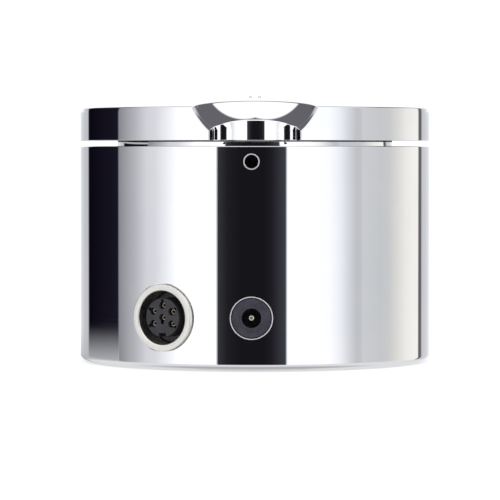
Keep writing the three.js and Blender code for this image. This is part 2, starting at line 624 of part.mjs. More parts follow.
// A round nut with four slots for a pin spanner.
function ringNut(inner, outer, [low, high]) {
  const slot = (angle) => block(2.4, outer * 2 + 1, [low - 1, low + 1.2]).rotateZ(radians(angle));
  return cut(ring(inner, outer, [low, high], 24), slot(0), slot(90));
}

const washerSpan = [linkNutFront - 0.8, linkNutFront];
const linkNutSpan = [linkNutFront - 3.8, linkNutFront - 1.1];
add('link_socket_washer', ring(LINK_BARREL + FIT, LINK_NUT_RADIUS, washerSpan, 24), RUBBER, link);
add('link_socket_nut', ringNut(LINK_BARREL + FIT, LINK_NUT_RADIUS, linkNutSpan), NICKEL, link);

// ---- Power jack --------------------------------------------------------------------------

const POWER_FACE = DRUM_RADIUS + 0.2;
const POWER_INNER_END = 38;
const power = portGroup(POWER_FRAME);

add('power_jack_bezel', turned([
  [POWER_BEZEL_RADIUS - 0.5, POWER_SEAT], [POWER_BEZEL_RADIUS, POWER_SEAT],
  [POWER_BEZEL_RADIUS, POWER_FACE], [POWER_BEZEL_RADIUS - 0.2, POWER_FACE + 0.2],
  [POWER_BEZEL_RADIUS - 0.5, POWER_FACE + 0.2],
], 32), POLISHED, power);
const powerFlange = POWER_BEZEL_RADIUS - 0.5 - FIT;
add('power_jack_body', turned([
  [0, POWER_INNER_END], [POWER_BARREL, POWER_INNER_END], [POWER_BARREL, POWER_SEAT],
  [powerFlange, POWER_SEAT], [powerFlange, POWER_FACE - 0.3], [powerFlange - 0.3, POWER_FACE],
  [POWER_BORE_RADIUS + 0.3, POWER_FACE], [POWER_BORE_RADIUS, POWER_FACE - 0.3],
  [POWER_BORE_RADIUS, POWER_FACE - 10], [0, POWER_FACE - 10],
], 32), BLACK_PLASTIC, power);
add('power_jack_pin', turned([
  [0, POWER_FACE - 10 + FIT], [POWER_PIN_RADIUS, POWER_FACE - 10 + FIT],
  [POWER_PIN_RADIUS, POWER_FACE - 1.6], [POWER_PIN_RADIUS - 0.4, POWER_FACE - 1.2],
  [POWER_PIN_BORE, POWER_FACE - 1.2], [POWER_PIN_BORE, POWER_FACE - 4], [0, POWER_FACE - 4],
], SMALL), NICKEL, power);
const powerNutFront = wallInsideAt(7.5) - FIT;
const powerNut = hexNut(POWER_BARREL + FIT, 12.5, [powerNutFront - 2.4, powerNutFront]);
add('power_jack_nut', powerNut, NICKEL, power);

// ---- Probe jack --------------------------------------------------------------------------

const PROBE_FACE = DRUM_RADIUS + 0.15;
const PROBE_ROOM = DRUM_HEIGHT - PROBE_HEIGHT - NECK_DIP - PRESS_TRAVEL - FIT; // up to the pressed neck
const PROBE_BODY = [-2.6, PROBE_ROOM]; // below and above the bore
const probe = portGroup(PROBE_FRAME);

add('probe_jack_bushing', turned([
  [PROBE_BORE_RADIUS, 46 + FIT], [PROBE_BUSHING_RADIUS, 46 + FIT],
  [PROBE_BUSHING_RADIUS, PROBE_FACE - 0.15], [PROBE_BUSHING_RADIUS - 0.15, PROBE_FACE],
  [PROBE_BORE_RADIUS + 0.15, PROBE_FACE], [PROBE_BORE_RADIUS, PROBE_FACE - 0.15],
], 24), POLISHED, probe);
add('probe_jack_body', cut(
  block(PROBE_BODY_WIDTH, PROBE_BODY[1] - PROBE_BODY[0], [PROBE_BODY_INNER + FIT, 46])
    .translate(0, (PROBE_BODY[0] + PROBE_BODY[1]) / 2, 0),
  disc(PROBE_BORE_RADIUS, [37, 50], SMALL),
), BLACK_PLASTIC, probe);

// ---- Leads inside the drum ---------------------------------------------------------------

const inWorld = (frame, x, y, z) => new THREE.Vector3(x, y, z).applyMatrix4(frame).toArray();
const headerTop = COMPONENT_FLOOR + 6 + FIT;

add('link_leads', swept([
  inWorld(LINK_FRAME, 0, 0, LINK_INNER_END - 4 - FIT),
  inWorld(LINK_FRAME, 0, 0, LINK_INNER_END - 7),
  inWorld(LINK_FRAME, 1, 6, LINK_INNER_END - 9),
  [-10, -37, 24], [-9, -38, 31], [-11, -34.5, 39], [-16.5, -29, 41],
  [-18, -28, 39], [-18, -28, headerTop + FIT],
], 1.6, 6, 16), WIRE);
add('power_leads', swept([
  inWorld(POWER_FRAME, 0, 0, POWER_INNER_END - FIT),
  inWorld(POWER_FRAME, 0, 0, POWER_INNER_END - 4),
  [-3, -34, 20], [-5.5, -38.5, 25], [-4.5, -39, 33], [1, -37, 39], [8, -32.8, 40.5],
  [10, -32, 38.6], [10, -32, headerTop + FIT],
], 1.2, 6, 16), WIRE);
add('probe_leads', swept([
  inWorld(PROBE_FRAME, 0, 0, PROBE_BODY_INNER),
  inWorld(PROBE_FRAME, 0, 0, PROBE_BODY_INNER - 1.6),
  [0, -29.4, 57.5], [0, -29, 54], [0, -28, 44], [0, -27, 36], [0, -27, COMPONENT_FLOOR],
], 0.8, 6, 12), WIRE);

export default control;
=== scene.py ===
import json
import math

import bmesh
import bpy
import numpy as np
from mathutils import Matrix, Vector

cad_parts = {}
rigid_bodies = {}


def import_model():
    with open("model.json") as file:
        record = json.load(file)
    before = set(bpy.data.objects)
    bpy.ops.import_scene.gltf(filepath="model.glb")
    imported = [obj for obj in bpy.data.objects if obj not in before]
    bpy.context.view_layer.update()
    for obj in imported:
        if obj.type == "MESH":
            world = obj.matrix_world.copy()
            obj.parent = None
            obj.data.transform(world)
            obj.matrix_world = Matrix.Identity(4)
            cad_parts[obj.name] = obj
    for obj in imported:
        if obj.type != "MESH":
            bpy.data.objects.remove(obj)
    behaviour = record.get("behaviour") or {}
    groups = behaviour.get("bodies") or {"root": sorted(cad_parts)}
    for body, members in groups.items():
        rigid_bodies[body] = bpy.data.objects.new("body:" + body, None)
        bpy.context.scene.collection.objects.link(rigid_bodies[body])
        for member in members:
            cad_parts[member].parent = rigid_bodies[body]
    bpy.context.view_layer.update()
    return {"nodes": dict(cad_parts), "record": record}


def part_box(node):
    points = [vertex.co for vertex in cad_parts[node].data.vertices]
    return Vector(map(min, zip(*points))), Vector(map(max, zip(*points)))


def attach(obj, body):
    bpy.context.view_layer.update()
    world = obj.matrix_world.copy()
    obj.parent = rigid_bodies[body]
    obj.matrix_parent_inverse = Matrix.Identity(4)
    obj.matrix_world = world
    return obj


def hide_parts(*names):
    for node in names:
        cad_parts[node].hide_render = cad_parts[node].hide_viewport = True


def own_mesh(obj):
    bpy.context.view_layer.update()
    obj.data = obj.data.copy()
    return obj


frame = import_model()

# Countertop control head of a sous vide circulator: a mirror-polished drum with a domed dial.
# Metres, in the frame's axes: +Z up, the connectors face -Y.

MM = 0.001

# ---- Places and sizes, from the frame ------------------------------------------------------

DRUM_LOW, DRUM_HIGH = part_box("drum_shell")
DIAL_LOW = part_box("dial_cap")[0]
NECK_LOW, NECK_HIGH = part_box("dial_neck")
RADIUS = DRUM_HIGH[0]
DRUM_BOTTOM, DRUM_TOP = DRUM_LOW[2], DRUM_HIGH[2]
NECK_RADIUS = NECK_HIGH[0]
DIAL_BOTTOM = DRUM_TOP + 1.6 * MM
DIAL_SHOULDER = DIAL_BOTTOM + 9.6 * MM
DOME_RISE = 3.3 * MM
DOME_TOP = DIAL_SHOULDER + DOME_RISE
DOME_SPHERE = (RADIUS**2 + DOME_RISE**2) / (2 * DOME_RISE)
DIAL_TURN = math.radians(1.1)

LINK_TURN = math.radians(-29.3)
LINK_HEIGHT = sum(c[2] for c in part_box("link_socket_shell")) / 2
POWER_HEIGHT = sum(c[2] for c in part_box("power_jack_body")) / 2
PROBE_HEIGHT = sum(c[2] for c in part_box("probe_jack_bushing")) / 2


def port_matrix(turn, height):
    """A frame on the drum's axis whose +Z runs straight out at a turn from the back, with +Y up."""
    across = Vector((math.cos(turn), math.sin(turn), 0))
    out = Vector((math.sin(turn), -math.cos(turn), 0))
    matrix = Matrix((across, (0, 0, 1), out)).transposed().to_4x4()
    return Matrix.Translation((0, 0, height)) @ matrix


LINK = port_matrix(LINK_TURN, LINK_HEIGHT)
POWER = port_matrix(0, POWER_HEIGHT)
PROBE = port_matrix(0, PROBE_HEIGHT)
DIAL = Matrix.Rotation(DIAL_TURN, 4, "Z")

# ---- Camera ----------------------------------------------------------------------------------

EYE_DISTANCE = 0.945
EYE_HEIGHT = DRUM_BOTTOM + 61.9 * MM
EYE_TURN = DIAL_TURN
TILT_DOWN = math.radians(1.79)
AIM_LEFT = math.radians(0.09)


def add_camera():
    data = bpy.data.cameras.new("camera")
    data.sensor_width = 36
    data.lens = 228
    data.clip_end = 50
    camera = bpy.data.objects.new("camera", data)
    bpy.context.scene.collection.objects.link(camera)
    camera.location = (EYE_DISTANCE * math.sin(EYE_TURN), -EYE_DISTANCE * math.cos(EYE_TURN), EYE_HEIGHT)
    camera.rotation_euler = (math.pi / 2 - TILT_DOWN, 0, EYE_TURN + AIM_LEFT)
    bpy.context.scene.camera = camera


add_camera()

# ---- Studio: a ring of softboxes and black flags, which only the reflections see -------------

# (azimuth from the camera's side in degrees, + towards +X, brightness)
STUDIO_RING = [
    (-180, 0.97), (-163, 0.74), (-152, 0.58), (-142.5, 0.54), (-141.5, 0.003), (-125, 0.006), (-101, 0.0105),
    (-100, 0.26), (-93, 0.36), (-84, 0.49), (-75, 0.68), (-68, 0.72), (-60, 0.88), (-52, 1.06), (-24.8, 1.06),
    (-24.0, 0.035), (-18, 0.014), (-9, 0.0085), (6, 0.0085), (11, 0.014), (17.0, 0.038), (19.8, 0.050),
    (20.8, 1.08), (49, 1.04), (57, 0.90), (63, 0.71), (69.5, 0.55), (73, 0.56), (74.5, 0.62), (90, 0.58),
    (98, 0.60), (108, 0.72), (117, 0.84), (128, 0.90), (135.5, 0.90), (136.5, 0.12), (141.5, 0.12),
    (142.5, 0.58), (154, 0.66), (169, 0.90), (180, 0.97),
]
# (azimuth, tint): the black cloth on the left is bluish and the far right panel is warm
STUDIO_TINTS = [
    (-142, (0.97, 0.99, 1.04)), (-139, (0.88, 0.68, 1.70)), (-103, (0.88, 0.74, 1.55)),
    (-100, (0.97, 0.98, 1.06)), (-25, (0.99, 0.99, 1.00)), (-22, (0.94, 1.0, 1.22)), (-16, (0.97, 0.92, 1.2)),
    (14, (0.97, 0.92, 1.2)), (18, (0.94, 1.0, 1.22)), (22, (1.0, 1.0, 1.0)), (60, (0.97, 0.99, 1.04)),
    (95, (0.98, 1.0, 1.02)), (105, (1.01, 1.0, 0.96)), (135, (1.01, 0.99, 0.96)), (145, (0.97, 0.99, 1.04)),
]
UPPER_SIDES = (0.125, 0.125, 0.14)
UPPER_FRONT = (1.08,) * 3
BEHIND = (1.04,) * 3
HIGH_BEHIND = (0.72, 0.73, 0.75)
BELOW = (0.74, 0.74, 0.76)
UNDERFOOT = (0.42, 0.42, 0.44)
FADED_LEFT = (0.47, 0.48, 0.50)
BACKDROP_STRENGTH = 1.2        # what the camera and diffuse light see in place of the ring

# Elevations in degrees between which one part of the studio gives way to the next
LEFT_FADE = (3.1, 4.0)         # below the horizon
UPPER_START = (15, 24)
HIGH_START = (24, 40)
BEHIND_START = (0.3, 2.0)
BELOW_START = (-12, -21)
UNDERFOOT_START = (-40, -75)
LEFT_END = 80                  # end of the left side, in degrees round the ring from straight behind
BEHIND_EDGES = (146, 164)      # degrees to either side of the camera's side
FRONT_EDGES = (0.33, 0.41)     # of the direction towards the camera's side
FRONT_SPREAD = 0.44            # how far the front widens to the sides


def new_node(tree, kind, **settings):
    node = tree.nodes.new(kind)
    for key, value in settings.items():
        setattr(node, key, value)
    return node


def math_node(tree, operation, *inputs):
    node = new_node(tree, "ShaderNodeMath", operation=operation)
    for i, value in enumerate(inputs):
        if isinstance(value, (int, float)):
            node.inputs[i].default_value = value
        else:
            tree.links.new(value, node.inputs[i])
    return node.outputs[0]


def spread(tree, value, low, high, to_low=0.0, to_high=1.0, smooth=True):
    """value mapped from one range to another, held at its ends."""
    node = new_node(tree, "ShaderNodeMapRange", interpolation_type="SMOOTHSTEP" if smooth else "LINEAR")
    tree.links.new(value, node.inputs["Value"])
    for name, number in (("From Min", low), ("From Max", high), ("To Min", to_low), ("To Max", to_high)):
        node.inputs[name].default_value = number
    return node.outputs["Result"]


def mixed(tree, factor, a, b):
    """Colour a where factor is 0 and b where it is 1; a and b are outputs or colours."""
    node = new_node(tree, "ShaderNodeMix", data_type="RGBA")
    for socket, value in ((node.inputs[0], factor), (node.inputs[6], a), (node.inputs[7], b)):
        if isinstance(value, (int, float)):
            socket.default_value = value
        elif isinstance(value, (tuple, list)):
            socket.default_value = (*value[:3], 1)
        else:
            tree.links.new(value, socket)
    return node.outputs[2]


def ring_curve(tree, turn):
    """The ring's brightness at an azimuth given from 0 to 1, as a float curve through the panels' edges."""
    node = new_node(tree, "ShaderNodeFloatCurve")
    tree.links.new(turn, node.inputs["Value"])
    curve = node.mapping.curves[0]
    top = max(b for _, b in STUDIO_RING)
    points = [((a + 180) / 360, b / top) for a, b in STUDIO_RING]
    curve.points[0].location = points[0]
    curve.points[1].location = points[-1]
    for place in points[1:-1]:
        curve.points.new(*place)
    for point in curve.points:
        point.handle_type = "VECTOR"
    node.mapping.use_clip = False
    node.mapping.update()
    return math_node(tree, "MULTIPLY", node.outputs[0], top)


def tint_ramp(tree, turn):
    node = new_node(tree, "ShaderNodeValToRGB")
    tree.links.new(turn, node.inputs[0])
    ramp = node.color_ramp
    ramp.elements[0].position = 0.0
    ramp.elements[0].color = (*STUDIO_TINTS[0][1], 1)
    ramp.elements[1].position = 1.0
    ramp.elements[1].color = (*STUDIO_TINTS[-1][1], 1)
    for azimuth, tint in STUDIO_TINTS:
        ramp.elements.new((azimuth + 180) / 360).color = (*tint, 1)
    return node.outputs[0]


def above(tree, z, low, high):
    """0 below one elevation and 1 above the other, in degrees."""
    return spread(tree, z, math.sin(math.radians(low)), math.sin(math.radians(high)))


def reflected_studio(tree, x, y, z):
    away = math_node(tree, "MULTIPLY", y, -1.0)
    turned = math_node(tree, "SUBTRACT", math_node(tree, "ARCTAN2", x, away), EYE_TURN)
    turn = math_node(tree, "WRAP", math_node(tree, "MULTIPLY_ADD", turned, 1 / (2 * math.pi), 0.5), 1.0, 0.0)
    aside = math_node(tree, "ABSOLUTE", math_node(tree, "SUBTRACT", turn, 0.5))
    ring_colour = new_node(tree, "ShaderNodeVectorMath", operation="SCALE")
    tree.links.new(tint_ramp(tree, turn), ring_colour.inputs[0])
    tree.links.new(ring_curve(tree, turn), ring_colour.inputs["Scale"])
    left = math_node(tree, "LESS_THAN", turn, LEFT_END / 360)
    downward = math_node(tree, "MULTIPLY", z, -1.0)
    fades = math_node(tree, "MULTIPLY", left, above(tree, downward, *LEFT_FADE))
    ring = mixed(tree, fades, ring_colour.outputs[0], FADED_LEFT)
    sideways = math_node(tree, "MULTIPLY", math_node(tree, "ABSOLUTE", x), FRONT_SPREAD)
    front = spread(tree, math_node(tree, "ADD", sideways, away), *FRONT_EDGES)
    back = spread(tree, aside, BEHIND_EDGES[0] / 360, BEHIND_EDGES[1] / 360)
    upper = mixed(tree, front, UPPER_SIDES, UPPER_FRONT)
    with_upper = mixed(tree, above(tree, z, *UPPER_START), ring, upper)
    rear = mixed(tree, above(tree, z, *HIGH_START), BEHIND, HIGH_BEHIND)
    back_up = math_node(tree, "MULTIPLY", back, above(tree, z, *BEHIND_START))
    with_back = mixed(tree, back_up, with_upper, rear)
    with_below = mixed(tree, above(tree, z, *BELOW_START), with_back, BELOW)
    return mixed(tree, above(tree, z, *UNDERFOOT_START), with_below, UNDERFOOT)


def build_studio():
    world = bpy.data.worlds.new("studio")
    bpy.context.scene.world = world
    world.use_nodes = True
    tree = world.node_tree
    tree.nodes.clear()
    parts = new_node(tree, "ShaderNodeSeparateXYZ")
    tree.links.new(new_node(tree, "ShaderNodeTexCoord").outputs["Generated"], parts.inputs[0])
    light = new_node(tree, "ShaderNodeBackground")
    tree.links.new(reflected_studio(tree, *parts.outputs), light.inputs["Color"])
    backdrop = new_node(tree, "ShaderNodeBackground")
    backdrop.inputs["Color"].default_value = (1.0, 1.0, 1.0, 1)
    backdrop.inputs["Strength"].default_value = BACKDROP_STRENGTH
    ray = new_node(tree, "ShaderNodeLightPath")
    plain = math_node(tree, "MAXIMUM", ray.outputs["Is Camera Ray"], ray.outputs["Is Diffuse Ray"])
    choose = new_node(tree, "ShaderNodeMixShader")
    tree.links.new(plain, choose.inputs[0])
    tree.links.new(light.outputs[0], choose.inputs[1])
    tree.links.new(backdrop.outputs[0], choose.inputs[2])
    output = new_node(tree, "ShaderNodeOutputWorld")
    tree.links.new(choose.outputs[0], output.inputs["Surface"])


def add_floor():
    bpy.ops.mesh.primitive_plane_add(size=300, location=(0, 0, 0))
    floor = bpy.context.object
    floor.name = "floor"
    floor.visible_glossy = False
    material = bpy.data.materials.new("floor_paper")
    material.use_nodes = True
    shader = material.node_tree.nodes["Principled BSDF"]
    shader.inputs["Base Color"].default_value = (0.5, 0.5, 0.5, 1)
    shader.inputs["Emission Color"].default_value = (1, 1, 1, 1)
    shader.inputs["Emission Strength"].default_value = 0.6
    shader.inputs["Roughness"].default_value = 0.95
    shader.inputs["Specular IOR Level"].default_value = 0.0
    floor.data.materials.append(material)


build_studio()
add_floor()
bpy.context.scene.view_settings.view_transform = "Standard"

# ---- Materials -------------------------------------------------------------------------------


class Surface:
    """A node material around one Principled shader, with short calls for what the materials share."""

    def __init__(self, name, colour, roughness, metallic=0.0, **sockets):
        self.material = bpy.data.materials.new(name)
        self.material.use_nodes = True
        self.tree = self.material.node_tree
        self.shader = self.tree.nodes["Principled BSDF"]
        self.shader.inputs["Base Color"].default_value = (*colour, 1)
        self.shader.inputs["Roughness"].default_value = roughness
        self.shader.inputs["Metallic"].default_value = metallic
        for socket, value in sockets.items():
            self.shader.inputs[socket.replace("_", " ")].default_value = value
        self.place = new_node(self.tree, "ShaderNodeTexCoord").outputs["Object"]
        self.bumps = None

    def noise(self, scale, detail=4.0, stretch=(1, 1, 1), roughness=0.5):
        """Noise from 0 to 1; scale is cells in a metre, stretch widens them along an axis."""
        mapping = new_node(self.tree, "ShaderNodeMapping")
        mapping.inputs["Scale"].default_value = [scale / s for s in stretch]
        self.tree.links.new(self.place, mapping.inputs["Vector"])
        noise = new_node(self.tree, "ShaderNodeTexNoise")
        noise.inputs["Scale"].default_value = 1.0
        noise.inputs["Detail"].default_value = detail
        noise.inputs["Roughness"].default_value = roughness
        self.tree.links.new(mapping.outputs[0], noise.inputs["Vector"])
        return noise.outputs["Fac"]

    def colour(self, factor, a, b, low=0.35, high=0.65):
        self.tree.links.new(mixed(self.tree, spread(self.tree, factor, low, high), a, b),
                            self.shader.inputs["Base Color"])

    def roughness(self, factor, low_value, high_value, low=0.35, high=0.65):
        value = spread(self.tree, factor, low, high, low_value, high_value)
        self.tree.links.new(value, self.shader.inputs["Roughness"])

    def bump(self, height, depth, strength=1.0):
        """depth is how deep the texture cuts, in metres."""
        node = new_node(self.tree, "ShaderNodeBump")
        node.inputs["Strength"].default_value = strength
        node.inputs["Distance"].default_value = depth
        self.tree.links.new(height, node.inputs["Height"])
        if self.bumps is not None:
            self.tree.links.new(self.bumps, node.inputs["Normal"])
        self.bumps = node.outputs[0]
        self.tree.links.new(self.bumps, self.shader.inputs["Normal"])


def polished(name, turning=True):
    """Mirror-polished metal. The turning lines run round the axis, so they only change with height."""
    s = Surface(name, (0.97, 0.975, 0.985), 0.02, 1.0)
    lines = s.noise(5200, 3, (400, 400, 1))
    s.roughness(lines, 0.008, 0.030)
    if turning:
        s.bump(lines, 0.6e-7)
    haze = s.noise(60, 5)
    s.colour(haze, (0.955, 0.96, 0.975), (0.985, 0.985, 0.99))
    return s.material


def plated_nickel():
    s = Surface("plated_nickel", (0.95, 0.93, 0.87), 0.35, 1.0)
    cloud = s.noise(900, 5)
    s.colour(cloud, (0.91, 0.89, 0.82), (0.97, 0.955, 0.90))
    s.roughness(cloud, 0.30, 0.40)
    s.bump(s.noise(9000, 3), 0.0000006)
    return s.material


def plain_metal(name, colour, rough, grain=2500, stretch=(1, 1, 1), depth=0.00001):
    s = Surface(name, colour, rough, 1.0)
    grains = s.noise(grain, 5, stretch)
    s.colour(grains, [c * 0.86 for c in colour], [min(1, c * 1.1) for c in colour])
    s.roughness(grains, rough * 0.8, min(1, rough * 1.25))
    s.bump(grains, depth)
    return s.material


def moulded(name, colour, rough, grain=3500, depth=0.000015, **sockets):
    s = Surface(name, colour, rough, 0.0, **sockets)
    mottle = s.noise(300, 4)
    s.colour(mottle, [c * 0.85 for c in colour], [c * 1.15 for c in colour])
    s.roughness(s.noise(1200, 4), rough * 0.85, min(1, rough * 1.15))
    s.bump(s.noise(grain, 4), depth)
    return s.material


def circuit_board():
    s = Surface("circuit_board", (0.03, 0.19, 0.09), 0.35)
    tracks = new_node(s.tree, "ShaderNodeTexVoronoi", feature="DISTANCE_TO_EDGE")
    tracks.inputs["Scale"].default_value = 260
    s.tree.links.new(s.place, tracks.inputs["Vector"])
    s.colour(tracks.outputs["Distance"], (0.06, 0.29, 0.13), (0.02, 0.15, 0.07), 0.05, 0.09)
    s.roughness(s.noise(700), 0.28, 0.42)
    s.bump(tracks.outputs["Distance"], 0.00002)
    return s.material


MATERIALS = {
    "polished_drum": polished("polished_drum"),
    "polished_dial": polished("polished_dial"),
    "polished_trim": polished("polished_trim", turning=False),
    "nickel_shell": plated_nickel(),
    "gold_contact": plain_metal("gold_contact", (0.60, 0.54, 0.44), 0.35),
    "black_insulator": moulded("black_insulator", (0.022, 0.021, 0.026), 0.38),
    "jack_plastic": moulded("jack_plastic", (0.036, 0.033, 0.050), 0.42),
    "grey_plastic": moulded("grey_plastic", (0.30, 0.31, 0.33), 0.5),
    "steel": plain_metal("steel", (0.56, 0.57, 0.59), 0.32),
    "brass": plain_metal("brass", (0.73, 0.57, 0.30), 0.3),
    "bronze": plain_metal("bronze", (0.55, 0.40, 0.22), 0.45),
    "cast_alloy": plain_metal("cast_alloy", (0.50, 0.51, 0.53), 0.55, 1600, depth=0.00003),
    "black_rubber": moulded("black_rubber", (0.025, 0.025, 0.026), 0.8, 5000, 0.00003),
    "circuit_board": circuit_board(),
    "wire_sleeve": moulded("wire_sleeve", (0.22, 0.03, 0.03), 0.45),
}

for entry in frame["record"]["subparts"]:
    node = frame["nodes"][entry["node"]]
    node.data.materials.clear()
    node.data.materials.append(MATERIALS[entry["material_slot"]])

# ---- Mesh helpers ----------------------------------------------------------------------------


def link_mesh(name, mesh, body, slot, *replaced):
    piece = bpy.data.objects.new(name, mesh)
    bpy.context.scene.collection.objects.link(piece)
    mesh.materials.append(MATERIALS[slot])
    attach(piece, body)
    if replaced:
        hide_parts(*replaced)
    return piece


def arc(centre_r, centre_z, radius, start, end, steps):
    """Points round an arc of an outline, with angles in degrees."""
    turns = [math.radians(start + (end - start) * i / steps) for i in range(steps + 1)]
    return [(centre_r + radius * math.cos(a), centre_z + radius * math.sin(a)) for a in turns]


def lathe(outline, segments=192):
    """A bmesh turned about Z from (radius, height) points, closed on itself or ending on the axis."""
    bm = bmesh.new()
    on_axis = outline[0][0] < 1e-9
    columns = []
    poles = {}
    for step in range(segments):
        a = 2 * math.pi * step / segments
        column = []
        for i, (r, z) in enumerate(outline):
            if r < 1e-9:
                poles.setdefault(i, bm.verts.new((0, 0, z)) if i not in poles else poles[i])
                column.append(poles[i])
            else:
                column.append(bm.verts.new((r * math.cos(a), r * math.sin(a), z)))
        columns.append(column)
    count = len(outline)
    last = count - 1 if on_axis else count
    for step in range(segments):
        here, there = columns[step], columns[(step + 1) % segments]
        for i in range(last):
            j = (i + 1) % count
            corners = [here[i], there[i], there[j], here[j]]
            unique = list(dict.fromkeys(corners))
            if len(unique) > 2:
                bm.faces.new(unique)
    bmesh.ops.recalc_face_normals(bm, faces=bm.faces)
    return bm


def to_mesh(bm, name):
    mesh = bpy.data.meshes.new(name)
    bm.to_mesh(mesh)
    bm.free()
    return mesh


def carved(mesh, cutters, name):
    """mesh with each cutter mesh taken out of it."""
    scene = bpy.context.scene.collection.objects
    body = bpy.data.objects.new(name, mesh)
    scene.link(body)
    tools = []
    for cutter in cutters:
        tool = bpy.data.objects.new(name + "_cutter", cutter)
        scene.link(tool)
        tools.append(tool)
        cut = body.modifiers.new("cut", "BOOLEAN")
        cut.operation = "DIFFERENCE"
        cut.solver = "EXACT"
        cut.object = tool
    evaluated = body.evaluated_get(bpy.context.evaluated_depsgraph_get())
    result = bpy.data.meshes.new_from_object(evaluated)
    for thing in (body, *tools):
        bpy.data.objects.remove(thing)
    return result


def soften(mesh, angle=30.0):
    """Smooth shading, with edges sharper than the angle left sharp."""
    mesh.shade_smooth()
    mesh.set_sharp_from_angle(angle=math.radians(angle))


def place_normals(mesh, true_normal):
    """Gives each corner the surface's exact normal where true_normal(place, face_normal) knows it."""
    soften(mesh)
    normals = [Vector(c.vector) for c in mesh.corner_normals]
    for face in mesh.polygons:
        for corner in face.loop_indices:
            at = mesh.vertices[mesh.loops[corner].vertex_index].co
            exact = true_normal(at, face.normal)
            if exact is not None:
                normals[corner] = exact
    mesh.normals_split_custom_set([tuple(n) for n in normals])


def disc_mesh(radius, low, high, segments=96, matrix=Matrix.Identity(4)):
    bm = lathe([(0, low), (radius, low), (radius, high), (0, high)], segments)
    bm.transform(matrix)
    return to_mesh(bm, "disc")


def turned_piece(name, outline, body, slot, *replaced, matrix=Matrix.Identity(4), segments=96, cuts=()):
    bm = lathe(outline, segments)
    bm.transform(matrix)
    bmesh.ops.recalc_face_normals(bm, faces=bm.faces)
    mesh = to_mesh(bm, name)
    if cuts:
        mesh = carved(mesh, cuts, name)
    soften(mesh)
    return link_mesh(name, mesh, body, slot, *replaced)


# ---- Drum ------------------------------------------------------------------------------------

DRUM_INSIDE = RADIUS - 2.5 * MM
DECK_HOLE = NECK_RADIUS + 0.5 * MM
DECK = 1.5 * MM
TOP_EDGE = 0.24 * MM
BOTTOM_EDGE = 1.65 * MM
LINK_BARREL = 8.4 * MM
LINK_FLANGE = (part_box("link_socket_shell")[1][2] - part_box("link_socket_shell")[0][2]) / 2
LINK_SEAT = RADIUS - 1.1 * MM
LINK_FACE = RADIUS + 0.6 * MM
POWER_BEZEL = (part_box("power_jack_bezel")[1][2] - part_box("power_jack_bezel")[0][2]) / 2
POWER_SEAT = RADIUS - 0.7 * MM
POWER_BARREL = 4.7 * MM
PROBE_RING = (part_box("probe_jack_bushing")[1][2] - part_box("probe_jack_bushing")[0][2]) / 2
FIT = 0.3 * MM
CUT_END = RADIUS + 5 * MM


def drum_normal(at, face_normal):
    """Exact normals of the wall and its rounded edges; None on the deck, on the inside and in the ports."""
    r = math.hypot(at.x, at.y)
    if r < 1e-6:
        return None
    out = Vector((at.x / r, at.y / r, 0))
    if r > RADIUS - BOTTOM_EDGE - 1e-6 and at.z < DRUM_BOTTOM + BOTTOM_EDGE:
        inset = RADIUS - BOTTOM_EDGE
        centre = Vector((out.x * inset, out.y * inset, DRUM_BOTTOM + BOTTOM_EDGE))
        exact = (at - centre).normalized()
    elif r > RADIUS - TOP_EDGE - 1e-6 and at.z > DRUM_TOP - TOP_EDGE:
        inset = RADIUS - TOP_EDGE
        centre = Vector((out.x * inset, out.y * inset, DRUM_TOP - TOP_EDGE))
        exact = (at - centre).normalized()
    elif r > RADIUS - 0.02 * MM:
        exact = out
    else:
        return None
    return exact if exact.dot(face_normal) > 0.9 else None


def build_drum():
    outline = [(DRUM_INSIDE, DRUM_BOTTOM)]
    outline += arc(RADIUS - BOTTOM_EDGE, DRUM_BOTTOM + BOTTOM_EDGE, BOTTOM_EDGE, -90, 0, 12)
    outline += [(RADIUS, DRUM_BOTTOM + h * MM) for h in (4, 27, 53)]
    outline += arc(RADIUS - TOP_EDGE, DRUM_TOP - TOP_EDGE, TOP_EDGE, 0, 90, 8)
    outline += arc(DECK_HOLE + 0.2 * MM, DRUM_TOP - 0.2 * MM, 0.2 * MM, 90, 180, 4)
    outline += [(DECK_HOLE, DRUM_TOP - DECK), (DRUM_INSIDE, DRUM_TOP - DECK)]
    blank = to_mesh(lathe(outline, 360), "drum")
    cutters = [
        disc_mesh(LINK_BARREL + FIT, 40 * MM, CUT_END, 96, LINK),
        disc_mesh(LINK_FLANGE + FIT, LINK_SEAT - FIT, CUT_END, 128, LINK),
        disc_mesh(POWER_BARREL + FIT, 40 * MM, CUT_END, 96, POWER),
        disc_mesh(POWER_BEZEL + 0.08 * MM, POWER_SEAT - FIT, CUT_END, 128, POWER),
        disc_mesh(PROBE_RING + 0.08 * MM, 40 * MM, CUT_END, 96, PROBE),
    ]
    mesh = carved(blank, cutters, "drum_skin")
    place_normals(mesh, drum_normal)
    return link_mesh("drum_skin", mesh, "housing", "polished_drum", "drum_shell")


build_drum()

# ---- Dial ------------------------------------------------------------------------------------

NOTCH_RADIUS = 12.8 * MM
NOTCH_CENTRE = DIAL @ Vector((0, -50.4 * MM, 0))
DIMPLE_RADIUS = 20.2 * MM
DIMPLE_CENTRE = DIAL @ Vector((0, -53.8 * MM, DRUM_TOP + 19.5 * MM))
DOME_CENTRE = Vector((0, 0, DOME_TOP - DOME_SPHERE))
EDGE_ROUND = 0.3 * MM
UNDER_ROUND = 0.16 * MM
ARCH_ROUND = 0.12 * MM
FINE_EDGE = 0.13 * MM
HOLLOW_RADIUS = 33 * MM
HOLLOW_TOP = DOME_TOP - 4.8 * MM
LIP_RADIUS = 35.5 * MM
LIP_TOP = DIAL_BOTTOM + 2.5 * MM
HUB_RADIUS = 9.5 * MM
HUB_BOTTOM = DIAL_LOW[2]
HUB_BORE = 4.3 * MM
BORE_END = 72.3 * MM


